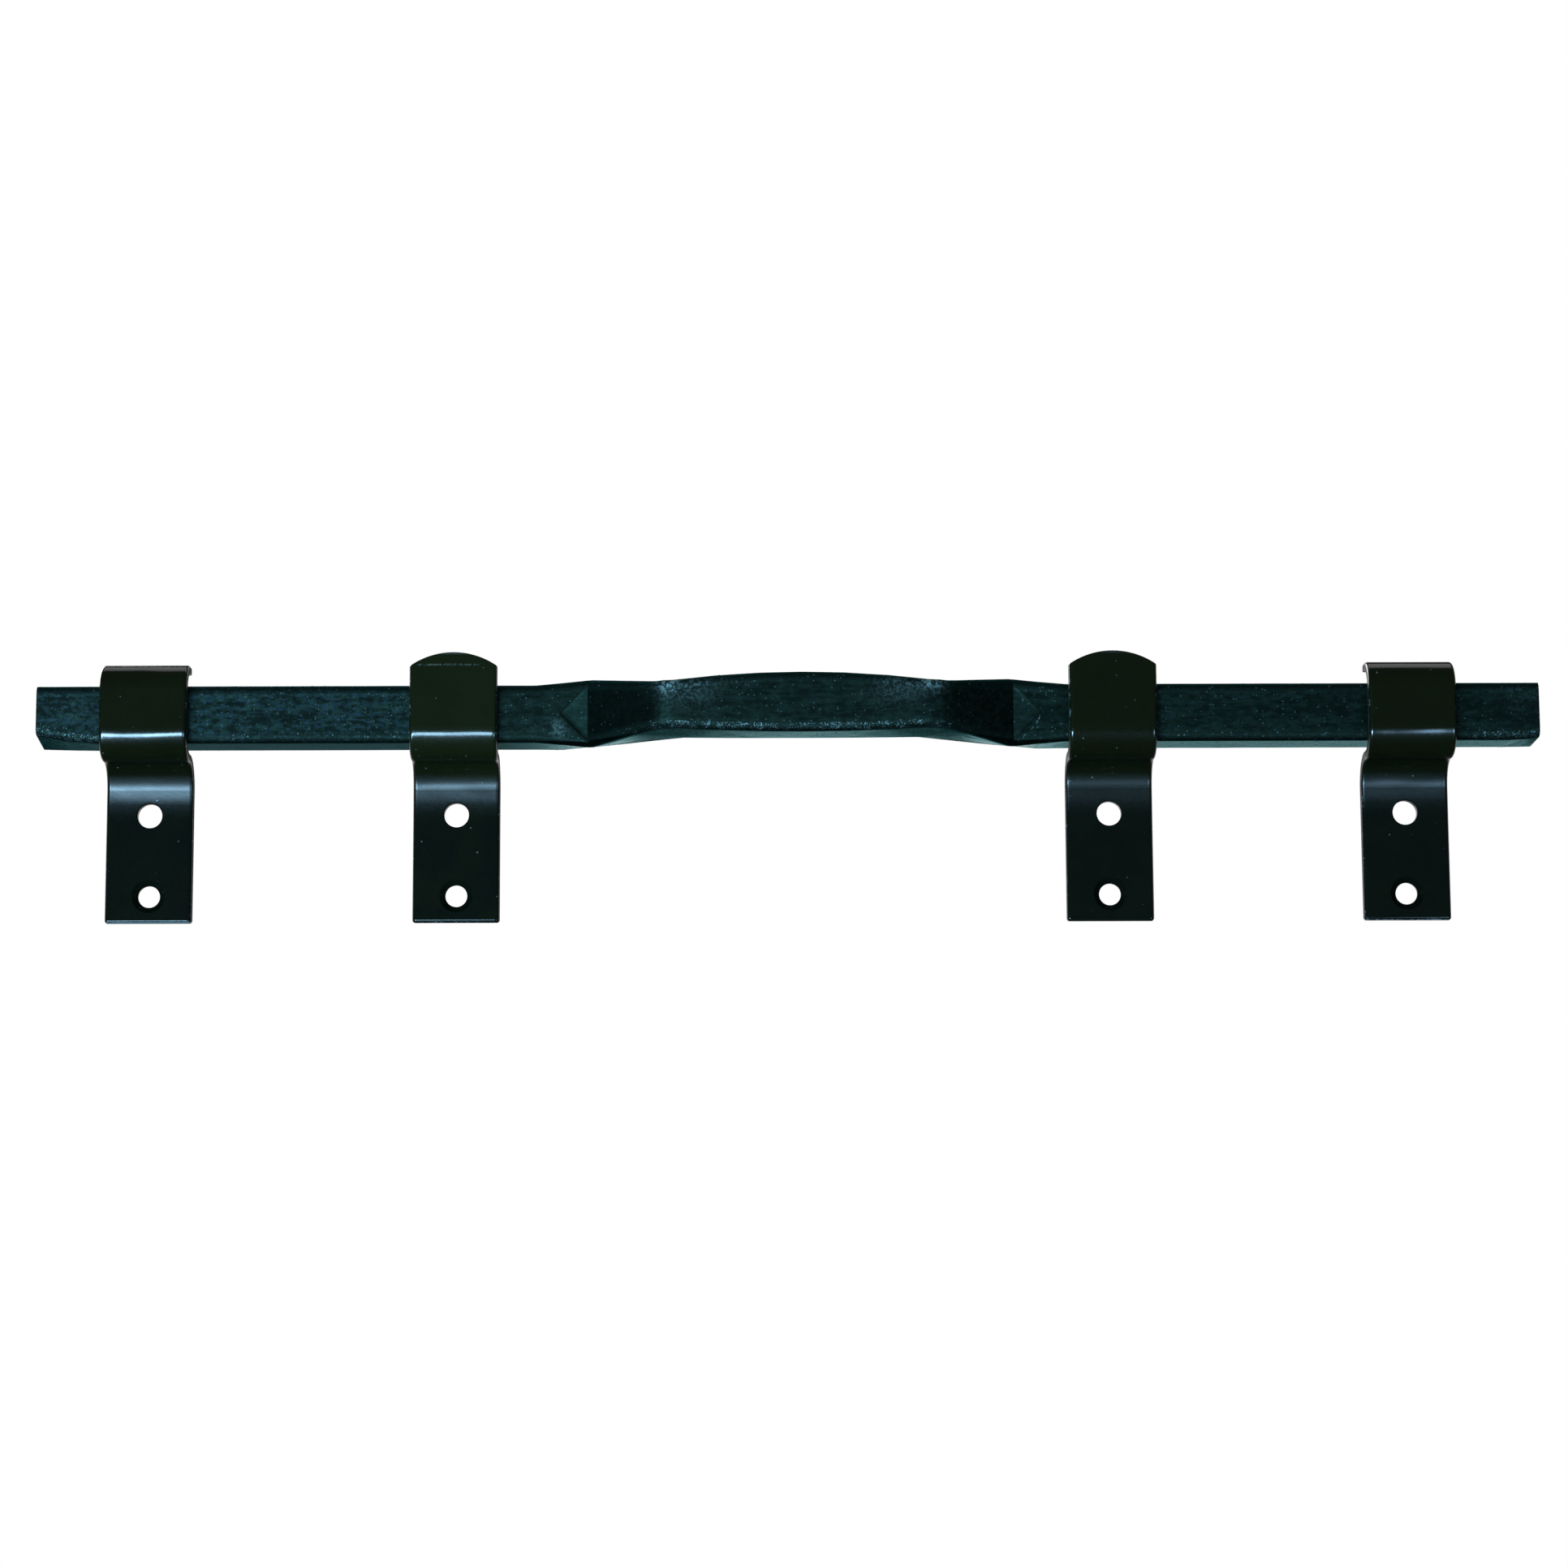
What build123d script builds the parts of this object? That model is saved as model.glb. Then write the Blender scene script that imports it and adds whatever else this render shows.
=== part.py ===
from build123d import *
import os
from math import atan2, cos, hypot, sin, tan

# Shutter security bar: a square tube with a grip formed in its middle, held across a pair of shutters by
# four bent steel straps. The outer straps curl over the bar, and the inner ones stay open as tongues.
# Millimetres. X runs along the bar, +Z is up, the shutters' face is the plane Y = 0 and the room is
# towards -Y. The origin is on that face, midway between the upper screw holes of the two inner straps.

# Bar: square tube, one piece from end to end
bar_size = 20.0
bar_wall = 1.5
bar_corner = 2.5
bar_corner_inside = 1.1
bar_length = 514.4
bar_shift = 1.6  # the bar's middle, to the right of the origin
bar_height = 22.7  # the bar's underside, above the upper screw holes

# Grip: the middle of the tube pressed forward between two creases
crease_span = 145.6
grip_span = 95.0
grip_rise = 24.0
grip_shift = 6.0  # the grip's middle, to the right of the origin
bend_radius = 10.0  # on the stretched side of each bend
fold_width = 1.2  # on the crushed side of each bend

# The tube's walls bulge where a bend crushes them and draw in where it stretches them
bulge_length = 18.0
bulge = 2.2
bulge_part_way = 0.9
crease_neck = 1.7
grip_neck_top = 2.7
grip_neck_under = 1.4
grip_crown = 0.3
crown_stations = 5
dent_depth = 1.3
dent_length = 8.0
dent_length_on_slope = 4.0
dent_middle = 2.4  # the dent's point, above the middle of the wall

# The shear that cut the tube pushed up the lower front corner of each end
left_lift = 3.3
left_lift_run = 22.0
right_lift = 1.1
right_lift_run = 10.0
lift_half_way = 0.3  # share of the lift reached half way along its run

# Straps: flat steel, all four bent alike up to the front of the bar
strap_width = 30.0
strap_thick = 3.0
front_rounding = 1.1
back_rounding = 0.4
foot_rounding = 1.0
tip_rounding = 0.5
inner_spacing = 225.3
left_overhang = 37.05  # the bar's end, past the middle of the outer strap
right_overhang = 43.95
back_gap = 0.4  # shutters' face to bar
front_gap = 0.9  # bar to the strap's front
under_gap = 2.7  # strap to the bar's underside
tail_bend = 8.3
seat_bend = 7.5
lip_bend = 6.5
lip_gap = 4.7  # bar's top to the lip
lip_end = 12.0  # shutters' face to the lip's end
tongue_rise = 10.6  # bar's top to the tongue's tip
tongue_arch = 4.8
hole_spacing = 28.0
tail_end = 9.3  # lower hole to the end of the tail
upper_hole = 8.5
upper_hole_break = 0.4
lower_hole = 7.5
lower_sink = 11.5
sink_angle = 90.0

os.makedirs("parts", exist_ok=True)

# Places that follow from the sizes above; depth is measured from the shutters' face towards the room
bar_top = bar_height + bar_size
bar_front = back_gap + bar_size
grip_front = bar_front + grip_rise
strap_inside = bar_front + front_gap
left_end = bar_shift - bar_length / 2
right_end = bar_shift + bar_length / 2
turn = atan2(grip_rise, (crease_span - grip_span) / 2)
mitre = bar_size * tan(turn / 2)


def station(front_x, back_x, front_depth, back_depth, top=(0, 0), under=(0, 0)):
    """One section of the bar: its front and back edges in plan, and how far each edge's top and underside
    stand out from a plain tube, as (front, back)."""
    return {
        "front": (front_x, front_depth),
        "back": (back_x, back_depth),
        "top": top,
        "under": under,
    }


def square_station(x, depth, top=(0, 0), under=(0, 0)):
    return station(x, x, depth, depth - bar_size, top, under)


def bend_stations(side, corner_x, depth, crushed_front, growth_top, growth_under):
    """Three sections fanned round a bend, from the bar's end towards its middle. side is -1 on the left and
    1 on the right. The crushed side folds in fold_width, and the stretched side turns on bend_radius."""
    inward = -side
    back_depth = depth - bar_size
    reach = bend_radius * tan(turn / 2)
    saved = bend_radius * (1 / cos(turn / 2) - 1)
    middle = (inward * sin(turn / 2), -cos(turn / 2))
    level = (inward, 0)
    sloped = (inward * cos(turn), sin(turn))
    ends = (level, sloped) if crushed_front else (sloped, level)
    front = (corner_x, depth)
    back = (corner_x + inward * mitre, back_depth)
    crushed, stretched = (front, back) if crushed_front else (back, front)
    towards_crushed = -1 if crushed_front else 1
    fan = []
    for step, direction in ((-1, ends[0]), (0, None), (1, ends[1])):
        if direction is None:
            tight = crushed
            wide = (
                stretched[0] + towards_crushed * middle[0] * saved,
                stretched[1] + towards_crushed * middle[1] * saved,
            )
        else:
            tight = (
                crushed[0] + step * direction[0] * fold_width / 2,
                crushed[1] + step * direction[1] * fold_width / 2,
            )
            wide = (
                stretched[0] + step * direction[0] * reach,
                stretched[1] + step * direction[1] * reach,
            )
        at_front, at_back = (tight, wide) if crushed_front else (wide, tight)
        fan.append(
            station(
                at_front[0], at_back[0], at_front[1], at_back[1], growth_top, growth_under
            )
        )
    return fan


def bar_stations():
    """The sections of the whole bar, from its left end to its right."""
    stations = []
    for end_x, inward, lift, run in (
        (left_end, 1, left_lift, left_lift_run),
        (right_end, -1, right_lift, right_lift_run),
    ):
        middle = grip_shift
        crease_x = middle - inward * crease_span / 2
        grip_x = middle - inward * grip_span / 2
        half = [
            square_station(end_x, bar_front, under=(-lift, 0)),
            square_station(end_x + inward * run / 2, bar_front, under=(-lift * lift_half_way, 0)),
            square_station(end_x + inward * run, bar_front),
            square_station(crease_x - inward * bulge_length, bar_front),
            square_station(
                crease_x - inward * bulge_length / 2,
                bar_front,
                (bulge_part_way, 0),
                (bulge_part_way, 0),
            ),
        ]
        half += bend_stations(
            -inward, crease_x, bar_front, True, (bulge, -crease_neck), (bulge, -crease_neck)
        )
        half += bend_stations(
            -inward, grip_x, grip_front, False, (-grip_neck_top, 0), (-grip_neck_under, 0)
        )
        stations.append(half)
    left, right = stations
    crown = []
    first = left[-1]["front"][0]
    last = right[-1]["front"][0]
    for i in range(1, crown_stations + 1):
        share = i / (crown_stations + 1)
        rise = 4 * share * (1 - share)
        crown.append(
            square_station(
                first + share * (last - first),
                grip_front,
                ((grip_neck_top + grip_crown) * rise - grip_neck_top, 0),
                ((grip_neck_under + grip_crown) * rise - grip_neck_under, 0),
            )
        )
    return left + crown + right[::-1]


def station_plane(at):
    """The upright plane of a section: local X from the back edge to the front edge, local Y up."""
    run = at["front"][0] - at["back"][0]
    out = at["front"][1] - at["back"][1]
    return Plane(
        origin=(at["back"][0], -at["back"][1], bar_height),
        x_dir=(run, -out, 0),
        z_dir=(-out, -run, 0),
    )


def bar_form(inset, corner, stations):
    """The bar's outside, or with an inset its hollow, as a ruled skin over the sections, with the two dents
    that the creases press into the front wall."""
    with BuildPart() as form:
        for at in stations:
            width = hypot(at["front"][0] - at["back"][0], at["front"][1] - at["back"][1])
            side = inset * width / bar_size
            with BuildSketch(station_plane(at)):
                with BuildLine():
                    Polyline(
                        (side, inset - at["under"][1]),
                        (width - side, inset - at["under"][0]),
                        (width - side, bar_size + at["top"][0] - inset),
                        (side, bar_size + at["top"][1] - inset),
                        close=True,
                    )
                make_face()
                fillet(vertices(), corner)
        loft(ruled=True)
        for side in (-1, 1):
            crease_x = grip_shift + side * crease_span / 2
            depth = bar_front - inset
            low = (crease_x, -depth, bar_height - bulge + inset)
            high = (crease_x, -depth, bar_top + bulge - inset)
            heart = (crease_x, dent_depth - depth, bar_height + bar_size / 2)
            clear_low = (crease_x, -depth - bar_size / 4, low[2])
            clear_high = (crease_x, -depth - bar_size / 4, high[2])
            point_z = bar_height + bar_size / 2 + dent_middle
            outer_point = (crease_x + side * dent_length, -depth, point_z)
            slope_point = (
                crease_x - side * dent_length_on_slope * cos(turn),
                -depth - dent_length_on_slope * sin(turn),
                point_z,
            )
            with BuildSketch(Plane.YZ.offset(crease_x)) as lens:
                with BuildLine():
                    ThreePointArc(low[1:], heart[1:], high[1:])
                    Polyline(high[1:], clear_high[1:], clear_low[1:], low[1:])
                make_face()
            loft(
                [Vertex(*outer_point), lens.face(), Vertex(*slope_point)],
                ruled=True,
                mode=Mode.SUBTRACT,
            )
    return form.part


stations = bar_stations()
hollow = [dict(at) for at in stations]
for at, outward in ((hollow[0], -1), (hollow[-1], 1)):
    for edge in ("front", "back"):
        at[edge] = (at[edge][0] + outward * bar_wall, at[edge][1])

with BuildPart() as bar:
    add(bar_form(0, bar_corner, stations))
    add(bar_form(bar_wall, bar_corner_inside, hollow), mode=Mode.SUBTRACT)

bar.part.label = "bar"
export_step(bar.part, "parts/bar.step")

strap_middle = strap_thick / 2
strap_front = strap_inside + strap_thick
run_height = bar_height - under_gap - strap_middle
lip_height = bar_top + lip_gap + strap_middle
tongue_tip = bar_top + tongue_rise
tail_foot = -hole_spacing - tail_end
inner_left = -inner_spacing / 2
inner_right = inner_spacing / 2
straps = (
    ("left_outer_strap", left_end + left_overhang, True),
    ("left_inner_strap", inner_left, False),
    ("right_inner_strap", inner_right, False),
    ("right_outer_strap", right_end - right_overhang, True),
)

for name, strap_x, curled in straps:
    with BuildPart() as strap:
        corners = [
            (strap_x, -strap_middle, tail_foot),
            (strap_x, -strap_middle, run_height),
            (strap_x, strap_middle - strap_front, run_height),
        ]
        bends = [tail_bend + strap_middle, seat_bend + strap_middle]
        if curled:
            corners += [
                (strap_x, strap_middle - strap_front, lip_height),
                (strap_x, -lip_end, lip_height),
            ]
            bends.append(lip_bend + strap_middle)
        else:
            corners.append((strap_x, strap_middle - strap_front, tongue_tip))
        with BuildLine() as side_line:
            FilletPolyline(*corners, radius=bends)
        with BuildSketch(Plane.XY.offset(tail_foot)):
            with Locations((strap_x, -strap_middle)):
                Rectangle(strap_width, strap_thick)
            fillet(vertices().group_by(Axis.Y)[0], front_rounding)
            fillet(vertices().group_by(Axis.Y)[-1], back_rounding)
        sweep(path=side_line.wire())
        foot = strap.faces().sort_by(Axis.Z)[0]
        fillet(foot.edges().filter_by(Axis.X).sort_by(Axis.Y)[0], foot_rounding)
        if curled:
            lip_face = strap.faces().filter_by(Axis.Y).sort_by(Axis.Z)[-1]
            fillet(lip_face.edges().filter_by(Axis.X).sort_by(Axis.Z)[-1], tip_rounding)
        else:
            with BuildSketch(Plane.XZ):
                with BuildLine():
                    shoulder = tongue_tip - tongue_arch
                    left_shoulder = (strap_x - strap_width / 2, shoulder)
                    right_shoulder = (strap_x + strap_width / 2, shoulder)
                    ThreePointArc(left_shoulder, (strap_x, tongue_tip), right_shoulder)
                    Polyline(
                        right_shoulder,
                        (right_shoulder[0] + strap_thick, shoulder),
                        (right_shoulder[0] + strap_thick, tongue_tip + strap_thick),
                        (left_shoulder[0] - strap_thick, tongue_tip + strap_thick),
                        (left_shoulder[0] - strap_thick, shoulder),
                        left_shoulder,
                    )
                make_face()
            extrude(amount=strap_front + strap_thick, mode=Mode.SUBTRACT)
            tip_face = strap.faces().filter_by(GeomType.CYLINDER).sort_by(Axis.Z)[-1]
            fillet(tip_face.edges().filter_by(GeomType.CIRCLE).sort_by(Axis.Y)[0], tip_rounding)
        with Locations(Plane((strap_x, -strap_thick, 0), x_dir=(1, 0, 0), z_dir=(0, -1, 0))):
            CounterSinkHole(
                upper_hole / 2,
                upper_hole / 2 + upper_hole_break,
                counter_sink_angle=sink_angle,
            )
        with Locations(
            Plane((strap_x, -strap_thick, -hole_spacing), x_dir=(1, 0, 0), z_dir=(0, -1, 0))
        ):
            CounterSinkHole(lower_hole / 2, lower_sink / 2, counter_sink_angle=sink_angle)
    strap.part.label = name
    export_step(strap.part, f"parts/{name}.step")
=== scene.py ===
from math import atan2, cos, exp, pi, radians, sin, tan

import bmesh
import bpy
from bpy.props import FloatProperty, FloatVectorProperty, IntProperty, PointerProperty
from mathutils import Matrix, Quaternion, Vector, noise
from mathutils.bvhtree import BVHTree


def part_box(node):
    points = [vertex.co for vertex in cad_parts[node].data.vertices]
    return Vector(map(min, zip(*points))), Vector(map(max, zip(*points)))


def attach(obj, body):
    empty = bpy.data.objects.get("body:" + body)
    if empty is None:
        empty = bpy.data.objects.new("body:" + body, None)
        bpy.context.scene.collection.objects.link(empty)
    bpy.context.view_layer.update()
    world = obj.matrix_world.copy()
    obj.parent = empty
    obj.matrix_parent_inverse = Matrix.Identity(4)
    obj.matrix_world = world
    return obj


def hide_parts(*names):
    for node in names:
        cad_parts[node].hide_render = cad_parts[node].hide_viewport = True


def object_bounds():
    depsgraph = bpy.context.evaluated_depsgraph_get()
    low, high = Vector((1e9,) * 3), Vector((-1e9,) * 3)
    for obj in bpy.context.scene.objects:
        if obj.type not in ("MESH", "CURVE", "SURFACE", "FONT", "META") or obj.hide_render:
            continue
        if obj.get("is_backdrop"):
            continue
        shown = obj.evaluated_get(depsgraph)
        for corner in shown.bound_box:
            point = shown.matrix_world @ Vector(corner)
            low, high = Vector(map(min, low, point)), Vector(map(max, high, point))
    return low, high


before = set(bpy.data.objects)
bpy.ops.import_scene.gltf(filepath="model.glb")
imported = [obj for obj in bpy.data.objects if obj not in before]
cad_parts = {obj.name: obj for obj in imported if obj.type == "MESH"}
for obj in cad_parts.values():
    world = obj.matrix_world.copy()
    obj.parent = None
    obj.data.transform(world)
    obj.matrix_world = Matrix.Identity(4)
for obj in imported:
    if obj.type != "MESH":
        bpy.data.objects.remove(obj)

bl_info = {
    "name": "Shutter security bar",
    "version": (1, 0, 0),
    "blender": (4, 5, 0),
    "location": "3D View > Sidebar > Security bar",
    "description": "Finishes the packed security bar and its straps, and sets the stage for them",
    "category": "Object",
}

# Sizes are in metres. X runs along the bar to the right, Y runs into the shutters and Z is up. The origin
# is on the shutters' face, midway between the upper screw holes of the two inner straps.
MM = 0.001
BAR = "bar"
STRAPS = ("left_outer_strap", "left_inner_strap", "right_inner_strap", "right_outer_strap")

# The bar's plan, in the sizes of the part's source: where the tube is creased and where its grip bends
TUBE_SIZE = 20 * MM
CORNER_RADIUS = 2.5 * MM
TUBE_FOOT = 22.7 * MM
CREASE_SPAN = 145.6 * MM
GRIP_SPAN = 95 * MM
GRIP_MIDDLE = 6 * MM
GRIP_RISE = 24 * MM
TURN = atan2(GRIP_RISE, (CREASE_SPAN - GRIP_SPAN) / 2)
# How each straight run heads, from left to right, and which side of each bend is folded,
# where 1 stands for the room side
HEADINGS = (0, -TURN, 0, TURN, 0)
FOLDED_SIDES = (1, -1, -1, 1)

# The skin that is laid over the tube: its steps along the runs, which are shorter near a fold, its sections
# round a bend, its points across a flat and round a corner, and from how far outside it is felt for
LONG_STEP = 1.8 * MM
FOLD_STEP = 0.7 * MM
FOLD_REACH = 20 * MM
BEND_STATIONS = 14
FLAT_POINTS = 22
CORNER_POINTS = 6
REACH_OUT = 24 * MM
# How far off the folded wall its sections pivot, how far inside the tube's ends the last ones are felt, and
# of how many sections the inner wall keeps one
PIVOT_STAND_OFF = 1.0 * MM
END_INSET = 0.02 * MM
INNER_SKIP = 3

# The dent that each crease leaves on the room side outward of it, a triangle that points along the bar: its
# reach, its depth, the share of its reach that its rim slopes over and how far its bottom rises
DENT_REACH = 9.5 * MM
LEFT_DENT_DEPTH = 0.45 * MM
RIGHT_DENT_DEPTH = 0.22 * MM
DENT_RIM = 0.14
DENT_RISE = 0.6

# The spans of the waves in the tube's walls, the mean depth of a wave and how far each kind departs from it
LONG_WAVE = 16 * MM
SHORT_WAVE = 5 * MM
MEAN_WAVE = 0.5
LONG_WAVE_SHARE = 0.38
SHORT_WAVE_SHARE = 0.12

# The grains of mill scale: least and greatest reach, shape and seed
GRAIN_REACH = (0.10 * MM, 0.26 * MM)
GRAIN_SHAPE = (1.0, 0.8, 0.5)
GRAIN_SEED = 7

# Patches on the room side of the bar: place along it, height above the tube's underside, reach along and
# reach up in millimetres, then how far the patch leans and how bare it is. The first are rubbed through,
# the others are polished by hands and also carry painted sheen where the grip's bends catch the light.
RUBBED_PATCHES = (
    (87.4, 7.6, 0.9, 1.2, 2.0, 1.2),
    (85.2, 4.2, 1.6, 0.9, 1.2, 0.9),
    (82.6, 1.9, 1.5, 0.7, 0.7, 1.0),
    (44, 14, 9, 5, 0.0, 0.5),
    (-246, 3, 9, 0.8, -0.12, 0.6),
)
POLISH_AND_SHEEN_PATCHES = (
    (-77, 5, 2.6, 2.3, -0.2, 0.5),
    (-38.5, 16, 3.6, 3.4, 0.0, 1.2),
    (-33, 14, 10, 5, 0.0, 0.28),
    (50, 16.5, 4, 3, 0.0, 1.0),
    (40, 14, 9, 5, 0.0, 0.25),
    (-240, 12, 14, 4, 0.0, 0.04),
    (252, 14, 6, 5, 0.0, 0.08),
)

# How bare rubbing leaves the tube's lower corners on the grip and near the ends, its other lower corners,
# its upper corners and its cut ends, and the share of it on the sides turned from the room
HANDLED_CORNER = 0.64
PLAIN_CORNER = 0.42
UPPER_CORNER = 0.15
CUT_END = 0.7
HIDDEN_SIDE = 0.6
# How fast that fades away from a corner and from an end, and how far the wear of hands goes on from the
# ends and past the grip
EDGE_FADE = 0.9 * MM
END_FADE = 1.2 * MM
WORN_END = 24 * MM
PAST_GRIP = 4 * MM

# Patterns. A scale counts features in a metre, a kind of noise is (detail, roughness), and a contrast is
# the value at which a pattern starts and the one at which it is full.
SMOOTH_NOISE = (1, 0.5)
PLAIN_NOISE = (2, 0.5)
CLOUDY_NOISE = (3, 0.6)
GRAINY_NOISE = (3, 0.65)
RAGGED_NOISE = (4, 0.7)
CLOUD_CONTRAST = (0.34, 0.66)
GRAIN_CONTRAST = (0.42, 0.62)
LINE_CONTRAST = (0.38, 0.62)
HUE_CONTRAST = (0.40, 0.60)
LEAN_CONTRAST = (0.3, 0.7)
# Shares of the grain and of a coarser noise in the coat's height, and of the fine and the broad noise in
# the ragged edge of wear
HEIGHT_SHARES = (0.4, 0.6)
RAGGED_SHARES = (0.75, 0.25)

# The bar's coat
BAR_MOTTLE = {"Cloud_Scale": 230.0, "Grain_Scale": 900.0}
BAR_SPECKS = {"Scale": 1000.0, "Share": 0.16}
BAR_WEAR_SCALE = 2200.0
# The bands and the smears that the drawing of the tube leaves, as (squeeze along the bar, scale)
LONG_BANDS = (0.06, 420.0)
SHORT_SMEARS = (0.4, 800.0)
# What bands, smears, clouds and grain each add to the bloom, and the sums at which it starts and is full
BLOOM_SHARES = (0.26, 0.40, 0.24, 0.42)
BLOOM_FROM_TO = (0.22, 1.10)
# Painted shade: from where to where along the bar the bloom fades, so that the coat is darker to the right as
# if less light fell there, and what is left of the bloom and of its change of hue
PAINTED_SHADE_STRETCH = (-140 * MM, -90 * MM)
PAINTED_SHADE_BLOOM = 0.54
PAINTED_SHADE_HUE = 0.4
# How fine the bloom changes hue, and its two hues as shares of the colour in the settings
HUE_SCALE = 1400.0
GREEN_BLOOM = (0.90, 0.95, 0.62)
BLUE_BLOOM = (1.05, 1.05, 1.40)
# Where the bar's left and right differ, one turns into the other over this stretch
MIDDLE_STRETCH = (-10 * MM, 10 * MM)
# Painted sheen that a dent's facet adds to the bloom from its rim inwards, more on the left dent, and a
# painted shadow, the dark line along its rim
LEFT_DENT_SHEEN = 0.85
RIGHT_DENT_SHEEN = 0.32
DENT_SHEEN_FROM_TO = (0.02, 0.08)
DENT_RIM_SHADOW = 0.8
DENT_RIM_SHADOW_FROM_TO = (0.09, 0.02)
# How far from the grip's middle its slopes start and end, and what the bloom loses on the left one as
# painted shade, for how light falls on that slope
SLOPE_STARTS = (GRIP_SPAN / 2 - 2 * MM, GRIP_SPAN / 2 + 4 * MM)
SLOPE_ENDS = (CREASE_SPAN / 2 - 0.5 * MM, CREASE_SPAN / 2 + 0.5 * MM)
LEFT_SLOPE_SHADE = 0.55
# Where a wall counts as flat, from its corners inwards, and what is left of the bloom on the corners
FLAT_FROM_TO = (0.3, 0.9)
CORNER_BLOOM = 0.25
# How bare a rubbed place, the grain of a polished place with its painted sheen, and a speck are
RUBBED_SHARE = 0.8
POLISH_AND_SHEEN_FROM_TO = (0.3, 0.8)
POLISH_AND_SHEEN_SHARES = (0.1, 1.15)
SPECK_SHARE = 0.25
# Roughness of the flats, from the hollows to the grain, of the corners, and of the underside, where it
# falls over a stretch of the bar's left part
FLAT_ROUGHNESS = (0.44, 0.32)
CORNER_ROUGHNESS = 0.62
UNDERSIDE_HEIGHT = (TUBE_FOOT + 0.7 * MM, TUBE_FOOT + 0.1 * MM)
UNDERSIDE_STRETCH = (-105 * MM, -65 * MM)
UNDERSIDE_ROUGHNESS = (0.42, 0.19)
# The film reflects as a dark metal does, with less red the flatter it is seen
FILM_METALLIC = 0.9
FILM_TINT = (0.37, 0.93, 1.0, 1)
BAR_BUMP = 0.12 * MM
BAR_BUMP_STRENGTH = 0.7

# How far each strap's front colour is scaled, how far the start of its tail bend stands proud, and how worn
# its foot is
STRAP_LOOKS = (
    (0.56, 0.92 * MM, 2.6),
    (0.80, 0.72 * MM, 1.2),
    (0.54, 0.22 * MM, 0.5),
    (0.54, 0.68 * MM, 1.6),
)
STRAP_MOTTLE = {"Cloud_Scale": 70.0, "Grain_Scale": 1200.0}
STRAP_SPECKS = {"Scale": 1300.0, "Share": 0.010}
STRAP_WEAR_SCALE = 900.0
# How much lighter the clouds of the straps' coat are, and how far they and the wear show
CLOUD_LIGHTER = 2.2
CLOUD_SHARE = 0.12
CHIPPED_SHARE = 0.7
# Heights between which a strap's tail turns into its front and its seat starts and ends
FRONT_COLOUR = (4 * MM, 20 * MM)
SEAT_STARTS = (14 * MM, 17 * MM)
SEAT_ENDS = (30 * MM, 22 * MM)
# The tail bend of the straps: its foot, where its gloss fades in and out and where the sheet starts to lean
TAIL_BEND_FOOT = 8.7 * MM
BEND_FADES_IN = (TAIL_BEND_FOOT - 12 * MM, TAIL_BEND_FOOT - 2 * MM)
BEND_FADES_OUT = (TAIL_BEND_FOOT + 4 * MM, TAIL_BEND_FOOT + 7 * MM)
BEND_LEANS = (TAIL_BEND_FOOT - 5.2 * MM, TAIL_BEND_FOOT + 4.3 * MM)
# That lean is uneven across the strap: scale and least and greatest share
LEAN_SCALE = 45.0
LEAN_SHARES = (0.8, 1.1)
# Roughness of a strap's tail, tail bend and front, then of its seat, its foot and its cut edges
TAIL_BEND_FRONT_ROUGHNESS = (0.10, 0.31, 0.14)
SEAT_ROUGHNESS = 0.21
FOOT_ROUGHNESS = 0.5
CUT_ROUGHNESS = 0.65
GRAIN_ROUGHNESS = 0.03
# The uneven surface of the coat: its depth, and its strength on tail, tail bend and front, and on the seat
PEEL = 0.05 * MM
TAIL_BEND_FRONT_PEEL = (0.12, 0.6, 0.12)
SEAT_PEEL = 0.6
# How far in from the sides, up from the foot and down from the top of a strap the coat is chipped and the
# sheared surface reaches: where each starts and where it is full
CHIPPED_SIDE = (1.0 * MM, 0.2 * MM)
CHIPPED_FOOT = (0.9 * MM, 0.1 * MM)
CUT_SIDE = (0.15 * MM, 0.03 * MM)
CUT_TOP = (1.3 * MM, 0.4 * MM)
# The shear rounded the straps' sides over this width, by this turn in radians
EDGE_ROUND = 1.6 * MM
EDGE_TURN = 0.45
# A painted highlight line across one tongue, along a faint press line where its tip bends slightly: its
# height, how it fades above and below, its ends from the strap's middle, where it fades too, and how far it
# shows
TIP_HIGHLIGHT_STRAP = "left_inner_strap"
TIP_HIGHLIGHT_HEIGHT = 48.9 * MM
TIP_HIGHLIGHT_FADES = (0.45 * MM, 0.1 * MM)
TIP_HIGHLIGHT_LEFT = (-12.5 * MM, -11.5 * MM)
TIP_HIGHLIGHT_RIGHT = (9.5 * MM, 7 * MM)
TIP_HIGHLIGHT_SHARE = 0.16

# The stage
FLOOR_REACH = 20
FLOOR_TONE = 0.62
FLOOR_TO_CAMERA = 0.7
# From where to where behind the bar the floor brightens in reflections, and from how bright to how bright
FLOOR_BRIGHTENS = (0.4, 1.3)
FLOOR_IN_REFLECTIONS = (0.02, 0.2)
BACKDROP_PLACE = 3.0
BACKDROP_WIDTH = 8.0
BACKDROP_HEIGHT = 2.0
BACKDROP_TONE = 0.8
BACKDROP_TO_CAMERA = 1.0
BACKDROP_IN_REFLECTIONS = (0.7, 0.7)
PALE_ROUGHNESS = 0.9
ROOM_TINT = (0.85, 1, 1)
# The picture's middle lies this far to the right of the bar's
FRAME_RIGHT = 1.4 * MM
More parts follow.
